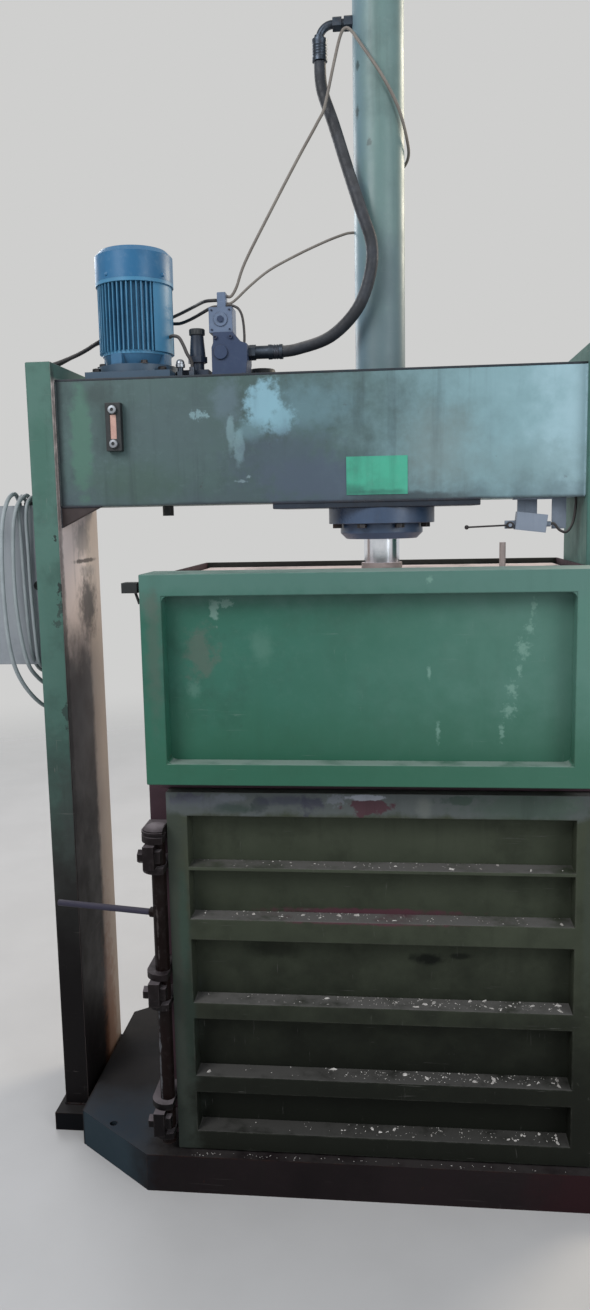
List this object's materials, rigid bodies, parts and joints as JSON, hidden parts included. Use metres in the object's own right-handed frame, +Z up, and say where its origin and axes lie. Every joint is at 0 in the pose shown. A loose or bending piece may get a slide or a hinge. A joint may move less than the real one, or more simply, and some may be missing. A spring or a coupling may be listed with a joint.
{
  "type": "recycling baler",
  "caption": "Vertical hydraulic recycling baler with a box chamber, a lower bale door, an upper gate and a crosshead that is the oil tank.",
  "frame": {"origin": "on the floor, under the axis of the ram, at the underside of the base", "axes": "+Z up along the ram, -Y towards the doors, +X to the right when facing the doors"},
  "size_m": [1.637, 0.777, 2.7],
  "materials": {
    "base_paint": "satin, rusty",
    "frame_green": "satin, worn",
    "tank_green": "satin, worn",
    "dark_plate": "satin, oily",
    "chamber_steel": "satin, worn",
    "red_lead": "matte",
    "cylinder_green": "satin",
    "black_steel": "satin",
    "zinc_steel": "satin",
    "chrome_rod": "gloss",
    "motor_blue": "satin",
    "cover_blue": "satin",
    "valve_slate": "satin",
    "black_plastic": "matte",
    "gauge_window": "gloss",
    "plate_green": "gloss",
    "hose_rubber": "matte",
    "cable_grey": "matte",
    "cabinet_grey": "satin",
    "door_olive": "satin, dusty",
    "gate_green": "satin",
    "ram_dust": "matte, dusty",
    "button_green": "gloss",
    "button_red": "gloss",
    "pump_metal": "satin"
  },
  "bodies": {
    "press_frame": {"base_frame": "base_paint", "left_upright": "frame_green", "right_upright": "frame_green", "crosshead_tank": "tank_green", "tank_lid": "dark_plate", "ram_plate": "dark_plate", "corner_gussets": "base_paint", "chamber_floor": "chamber_steel", "chamber_side_walls": "red_lead", "chamber_back_wall": "chamber_steel", "front_posts": "red_lead", "cylinder_tube": "cylinder_green", "cylinder_cap": "cylinder_green", "cylinder_flange": "black_steel", "gland_ring": "black_steel", "flange_bolts": "black_steel", "motor_body": "motor_blue", "motor_bell": "motor_blue", "fan_cover": "cover_blue", "terminal_box": "motor_blue", "gear_pump": "pump_metal", "valve_block": "valve_slate", "valve_coil": "valve_slate", "coil_plug": "black_plastic", "relief_valve": "black_steel", "hose_fittings": "zinc_steel", "level_gauge": "black_plastic", "gauge_glass": "gauge_window", "blank_plate": "plate_green", "tank_plugs": "black_plastic", "hinge_brackets": "dark_plate", "hinge_pins": "zinc_steel", "lock_bearings": "dark_plate", "limit_switch": "zinc_steel", "gate_switch": "black_plastic", "cabinet_body": "cabinet_grey", "hydraulic_hose": "hose_rubber", "motor_lead": "hose_rubber", "valve_lead": "hose_rubber", "cylinder_lead": "cable_grey", "cabinet_cable_a": "cable_grey", "cabinet_cable_b": "cable_grey", "switch_lead": "hose_rubber"},
    "ram": {"piston": "zinc_steel", "ram_rod": "chrome_rod", "platen": "ram_dust", "platen_cover": "ram_dust"},
    "lower_door": {"door_frame": "door_olive", "door_skin": "door_olive"},
    "upper_gate": {"gate_frame": "gate_green", "gate_skin": "gate_green"},
    "door_lock": {"lock_shaft": "dark_plate", "lock_claws": "black_steel"},
    "whisker": {"switch_whisker": "black_steel"},
    "motor_rotor": {"motor_shaft": "zinc_steel", "motor_fan": "black_plastic"},
    "cabinet_cover": {"cabinet_door": "cabinet_grey"},
    "power_switch": {"main_switch": "black_plastic"},
    "start_key": {"start_button": "button_green"},
    "emergency_key": {"emergency_button": "button_red"}
  },
  "joints": [
    {"name": "ram_stroke", "type": "slide", "parent": "press_frame", "child": "ram", "axis": [0, 0, -1], "range_m": [0, 0.95]},
    {"name": "door_swing", "type": "hinge", "parent": "press_frame", "child": "lower_door", "pos_m": [0.47, -0.34, 0.5], "axis": [0, 0, 1], "range_deg": [0, 110]},
    {"name": "gate_swing", "type": "hinge", "parent": "press_frame", "child": "upper_gate", "pos_m": [0.47, -0.34, 1.174], "axis": [0, 0, 1], "range_deg": [0, 100]},
    {"name": "lock_turn", "type": "hinge", "parent": "press_frame", "child": "door_lock", "pos_m": [-0.479, -0.377, 0.5], "axis": [0, 0, 1], "range_deg": [0, 70]},
    {"name": "whisker_tip", "type": "hinge", "parent": "press_frame", "child": "whisker", "pos_m": [0.289, -0.112, 1.473], "axis": [0, 1, 0], "range_deg": [-20, 20], "stiffness_Nm_per_rad": 0.5},
    {"name": "motor_turn", "type": "hinge", "parent": "press_frame", "child": "motor_rotor", "pos_m": [-0.578, 0, 1.9], "axis": [0, 0, 1], "continuous": true},
    {"name": "cabinet_door_swing", "type": "hinge", "parent": "press_frame", "child": "cabinet_cover", "pos_m": [-1.108, -0.069, 1.348], "axis": [0, 0, -1], "range_deg": [0, 110]},
    {"name": "main_switch_turn", "type": "hinge", "parent": "cabinet_cover", "child": "power_switch", "pos_m": [-1.01, -0.076, 1.45], "axis": [0, 1, 0], "range_deg": [0, 90]},
    {"name": "start_press", "type": "slide", "parent": "cabinet_cover", "child": "start_key", "axis": [0, 1, 0], "range_m": [0, 0.004], "stiffness_N_per_m": 400},
    {"name": "emergency_press", "type": "slide", "parent": "cabinet_cover", "child": "emergency_key", "axis": [0, 1, 0], "range_m": [0, 0.004], "stiffness_N_per_m": 800}
  ]
}
